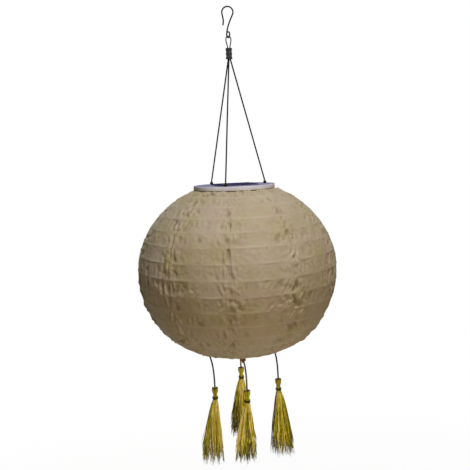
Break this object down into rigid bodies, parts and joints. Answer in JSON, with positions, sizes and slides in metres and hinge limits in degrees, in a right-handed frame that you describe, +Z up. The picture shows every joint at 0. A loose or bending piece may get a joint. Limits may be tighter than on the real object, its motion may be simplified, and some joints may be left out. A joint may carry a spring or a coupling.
{
  "type": "accordion hanging lantern",
  "caption": "Round accordion hanging lantern: a cloth skin over wire hoops that fold flat, under a solar cap on hanging wires with a hook, with thread tassels below.",
  "frame": {"origin": "inside of the hook's crown, where the lantern hangs", "axes": "+Z up along the lantern's axis, -Y towards the pictured front"},
  "size_m": [0.3044, 0.3044, 0.7092],
  "materials": {
    "black_wire": "black coated wire, satin",
    "cable": "black twisted cable",
    "crimp_metal": "crimped sleeve",
    "cap_plastic": "pale silver moulded plastic",
    "base_plastic": "white moulded plastic",
    "solar_cell": "dark blue cell under clear resin",
    "foam": "black foam tape",
    "board": "green circuit board",
    "cell_sleeve": "shrink-sleeved cell",
    "spring_steel": "bright spring steel",
    "led_lens": "clear warm lens",
    "switch_plastic": "black moulded plastic",
    "hoop_steel": "bare spring wire",
    "fabric": "khaki woven nylon, slightly wrinkled",
    "cord": "dark green cord",
    "thread": "gold and brown thread"
  },
  "bodies": {
    "hook": {"hook": "black_wire"},
    "hanger": {"hanging_loop": "cable", "crimp_ferrule": "crimp_metal", "hanging_wire_1": "cable", "hanging_wire_2": "cable", "hanging_wire_3": "cable", "wire_foot_1": "black_wire", "wire_foot_2": "black_wire", "wire_foot_3": "black_wire", "cap_ring": "cap_plastic", "cap_base": "base_plastic", "solar_panel": "solar_cell", "panel_gasket": "foam", "circuit_board": "board", "battery": "cell_sleeve", "battery_contact_1": "spring_steel", "battery_contact_2": "spring_steel", "led_left": "led_lens", "led_right": "led_lens", "cap_screw_1": "spring_steel", "cap_screw_2": "spring_steel", "cap_screw_3": "spring_steel", "expander_frame": "spring_steel", "bottom_hoop": "hoop_steel", "fabric_cover": "fabric"},
    "top_hoop": {"top_hoop": "hoop_steel"},
    "rib_1": {"rib_hoop_1": "hoop_steel"},
    "rib_2": {"rib_hoop_2": "hoop_steel"},
    "rib_3": {"rib_hoop_3": "hoop_steel"},
    "rib_4": {"rib_hoop_4": "hoop_steel"},
    "rib_5": {"rib_hoop_5": "hoop_steel"},
    "rib_6": {"rib_hoop_6": "hoop_steel"},
    "rib_7": {"rib_hoop_7": "hoop_steel"},
    "rib_8": {"rib_hoop_8": "hoop_steel"},
    "rib_9": {"rib_hoop_9": "hoop_steel"},
    "rib_10": {"rib_hoop_10": "hoop_steel"},
    "rib_11": {"rib_hoop_11": "hoop_steel"},
    "rib_12": {"rib_hoop_12": "hoop_steel"},
    "rib_13": {"rib_hoop_13": "hoop_steel"},
    "rib_14": {"rib_hoop_14": "hoop_steel"},
    "tassel_1": {"tassel_cord_1": "cord", "tassel_head_1": "thread", "tassel_binding_1": "cord", "tassel_skirt_1": "thread"},
    "tassel_2": {"tassel_cord_2": "cord", "tassel_head_2": "thread", "tassel_binding_2": "cord", "tassel_skirt_2": "thread"},
    "tassel_3": {"tassel_cord_3": "cord", "tassel_head_3": "thread", "tassel_binding_3": "cord", "tassel_skirt_3": "thread"},
    "tassel_4": {"tassel_cord_4": "cord", "tassel_head_4": "thread", "tassel_binding_4": "cord", "tassel_skirt_4": "thread"},
    "switch": {"switch_slider": "switch_plastic"},
    "battery_door": {"battery_cover": "base_plastic"}
  },
  "joints": [
    {"name": "lantern_swing", "type": "hinge", "parent": "hook", "child": "hanger", "pos_m": [0, 0, -0.0443], "axis": [0.5299, -0.848, 0], "range_deg": [-40, 40]},
    {"name": "fold", "type": "slide", "parent": "hanger", "child": "top_hoop", "axis": [0, 0, -1], "range_m": [0, 0.2218], "deforming": ["fabric_cover"]},
    {"name": "rib_1_slide", "type": "slide", "parent": "hanger", "child": "rib_1", "axis": [0, 0, -1], "range_m": [0, 0.21345]},
    {"name": "rib_2_slide", "type": "slide", "parent": "hanger", "child": "rib_2", "axis": [0, 0, -1], "range_m": [0, 0.20261]},
    {"name": "rib_3_slide", "type": "slide", "parent": "hanger", "child": "rib_3", "axis": [0, 0, -1], "range_m": [0, 0.1894]},
    {"name": "rib_4_slide", "type": "slide", "parent": "hanger", "child": "rib_4", "axis": [0, 0, -1], "range_m": [0, 0.17405]},
    {"name": "rib_5_slide", "type": "slide", "parent": "hanger", "child": "rib_5", "axis": [0, 0, -1], "range_m": [0, 0.15687]},
    {"name": "rib_6_slide", "type": "slide", "parent": "hanger", "child": "rib_6", "axis": [0, 0, -1], "range_m": [0, 0.13825]},
    {"name": "rib_7_slide", "type": "slide", "parent": "hanger", "child": "rib_7", "axis": [0, 0, -1], "range_m": [0, 0.11883]},
    {"name": "rib_8_slide", "type": "slide", "parent": "hanger", "child": "rib_8", "axis": [0, 0, -1], "range_m": [0, 0.09913]},
    {"name": "rib_9_slide", "type": "slide", "parent": "hanger", "child": "rib_9", "axis": [0, 0, -1], "range_m": [0, 0.07987]},
    {"name": "rib_10_slide", "type": "slide", "parent": "hanger", "child": "rib_10", "axis": [0, 0, -1], "range_m": [0, 0.06165]},
    {"name": "rib_11_slide", "type": "slide", "parent": "hanger", "child": "rib_11", "axis": [0, 0, -1], "range_m": [0, 0.04499]},
    {"name": "rib_12_slide", "type": "slide", "parent": "hanger", "child": "rib_12", "axis": [0, 0, -1], "range_m": [0, 0.03025]},
    {"name": "rib_13_slide", "type": "slide", "parent": "hanger", "child": "rib_13", "axis": [0, 0, -1], "range_m": [0, 0.01767]},
    {"name": "rib_14_slide", "type": "slide", "parent": "hanger", "child": "rib_14", "axis": [0, 0, -1], "range_m": [0, 0.00757]},
    {"name": "tassel_1_swing", "type": "hinge", "parent": "hanger", "child": "tassel_1", "pos_m": [0.05189, 0.00345, -0.52054], "axis": [0.0663, -0.9978, 0], "range_deg": [-6, 60]},
    {"name": "tassel_2_swing", "type": "hinge", "parent": "hanger", "child": "tassel_2", "pos_m": [-0.00345, 0.05189, -0.52054], "axis": [0.9978, 0.0663, 0], "range_deg": [-6, 60]},
    {"name": "tassel_3_swing", "type": "hinge", "parent": "hanger", "child": "tassel_3", "pos_m": [-0.05189, -0.00345, -0.52054], "axis": [-0.0663, 0.9978, 0], "range_deg": [-6, 60]},
    {"name": "tassel_4_swing", "type": "hinge", "parent": "hanger", "child": "tassel_4", "pos_m": [0.00345, -0.05189, -0.52054], "axis": [-0.9978, -0.0663, 0], "range_deg": [-6, 60]},
    {"name": "switch_slide", "type": "slide", "parent": "hanger", "child": "switch", "axis": [1, 0, 0], "range_m": [-0.003, 0.003]},
    {"name": "battery_cover_hinge", "type": "hinge", "parent": "hanger", "child": "battery_door", "pos_m": [0, -0.0282, -0.284], "axis": [-1, 0, 0], "range_deg": [0, 90]}
  ],
  "couplings": [
    {"joint": "rib_1_slide", "follows": "fold", "ratio": 0.96228},
    {"joint": "rib_2_slide", "follows": "fold", "ratio": 0.91338},
    {"joint": "rib_3_slide", "follows": "fold", "ratio": 0.85381},
    {"joint": "rib_4_slide", "follows": "fold", "ratio": 0.78461},
    {"joint": "rib_5_slide", "follows": "fold", "ratio": 0.70718},
    {"joint": "rib_6_slide", "follows": "fold", "ratio": 0.62323},
    {"joint": "rib_7_slide", "follows": "fold", "ratio": 0.53568},
    {"joint": "rib_8_slide", "follows": "fold", "ratio": 0.44687},
    {"joint": "rib_9_slide", "follows": "fold", "ratio": 0.36003},
    {"joint": "rib_10_slide", "follows": "fold", "ratio": 0.27786},
    {"joint": "rib_11_slide", "follows": "fold", "ratio": 0.20274},
    {"joint": "rib_12_slide", "follows": "fold", "ratio": 0.13631},
    {"joint": "rib_13_slide", "follows": "fold", "ratio": 0.079576},
    {"joint": "rib_14_slide", "follows": "fold", "ratio": 0.03405}
  ]
}
